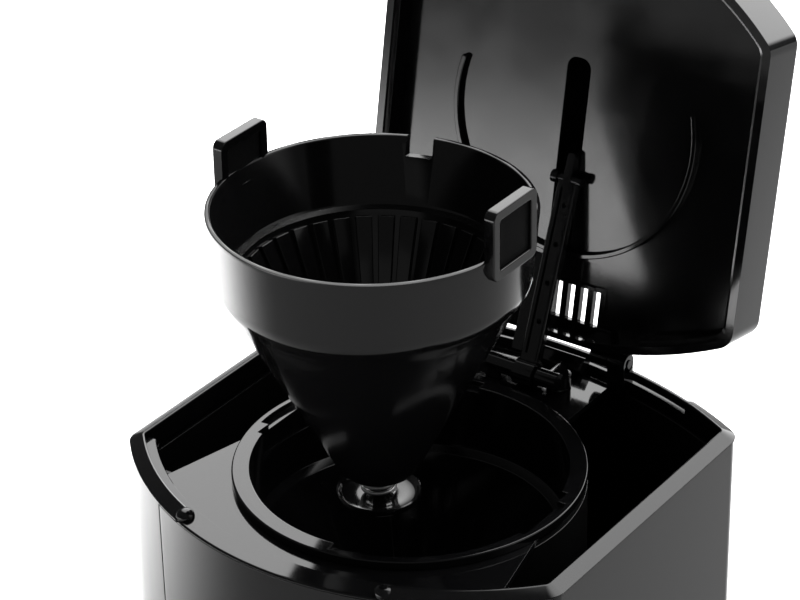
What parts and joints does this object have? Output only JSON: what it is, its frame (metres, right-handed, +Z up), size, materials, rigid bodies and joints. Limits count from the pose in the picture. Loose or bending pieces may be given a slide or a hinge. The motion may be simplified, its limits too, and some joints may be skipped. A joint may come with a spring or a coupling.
{
  "type": "drip coffee maker",
  "caption": "Countertop drip coffee maker with hinged lid, swinging spray arm, lift-out cone filter basket and glass carafe on a warming plate.",
  "frame": {"origin": "centre of the plan box, on the surface that the feet stand on", "axes": "+Z up, front (carafe handle and switch) towards -Y, +X to the right seen from the front"},
  "size_m": [0.196, 0.2458, 0.5159],
  "materials": {
    "gloss_black": "polished moulded plastic",
    "inner_black": "satin moulded plastic",
    "matte_black": "fine texture",
    "rubber": "matte",
    "silicone": "satin",
    "steel": "drawn",
    "plate_coating": "non-stick coating",
    "aluminium": "cast",
    "glass": "clear",
    "lens": "clear tinted"
  },
  "bodies": {
    "body": {"base_housing": "gloss_black", "base_plate": "matte_black", "foot_1": "rubber", "foot_2": "rubber", "foot_3": "rubber", "foot_4": "rubber", "base_screw_1": "steel", "base_screw_2": "steel", "base_screw_3": "steel", "base_screw_4": "steel", "switch_bezel": "matte_black", "switch_body": "matte_black", "indicator_lens": "lens", "warming_plate": "plate_coating", "plate_seal": "silicone", "heater_tube": "aluminium", "heating_element": "aluminium", "heater_bracket": "steel", "thermostat": "aluminium", "thermal_fuse": "steel", "cold_hose": "silicone", "one_way_valve": "matte_black", "riser_tube": "silicone", "column_housing": "gloss_black", "head_housing": "gloss_black", "front_fascia": "gloss_black", "deck": "gloss_black", "brew_well": "gloss_black", "water_tank": "inner_black", "pivot_pipe": "matte_black", "cord_gland": "rubber", "lid_pin_left": "steel", "lid_pin_right": "steel"},
    "lid": {"lid_shell": "gloss_black", "lid_liner": "gloss_black"},
    "arm": {"spray_arm": "gloss_black", "arm_cross_pin": "steel"},
    "basket": {"filter_basket": "gloss_black", "valve_spring": "steel"},
    "valve": {"valve_stem": "gloss_black", "valve_seal": "silicone"},
    "carafe": {"carafe_glass": "glass", "carafe_band": "steel", "carafe_lid": "matte_black", "carafe_handle": "matte_black"},
    "button": {"power_button": "gloss_black"}
  },
  "joints": [
    {"name": "lid_hinge", "type": "hinge", "parent": "body", "child": "lid", "pos_m": [0, 0.07612, 0.3275], "axis": [1, 0, 0], "range_deg": [0, 33]},
    {"name": "arm_pivot", "type": "hinge", "parent": "body", "child": "arm", "pos_m": [0.003, 0.05612, 0.3223], "axis": [1, 0, 0], "range_deg": [0, 37]},
    {"name": "basket_lift", "type": "slide", "parent": "body", "child": "basket", "axis": [0, 0.1665, -0.986], "range_m": [0, 0.12129]},
    {"name": "valve_travel", "type": "slide", "parent": "basket", "child": "valve", "axis": [0, 0, 1], "range_m": [0, 0.0025], "stiffness_N_per_m": 250, "springref_m": -0.002, "deforming": ["valve_spring"]},
    {"name": "carafe_slide", "type": "slide", "parent": "body", "child": "carafe", "axis": [0, -1, 0], "range_m": [0, 0.2]},
    {"name": "power_press", "type": "slide", "parent": "body", "child": "button", "axis": [0, 1, 0], "range_m": [0, 0.002], "stiffness_N_per_m": 400}
  ],
  "couplings": [
    {"joint": "arm_pivot", "follows": "lid_hinge", "ratio": 1.1164}
  ]
}
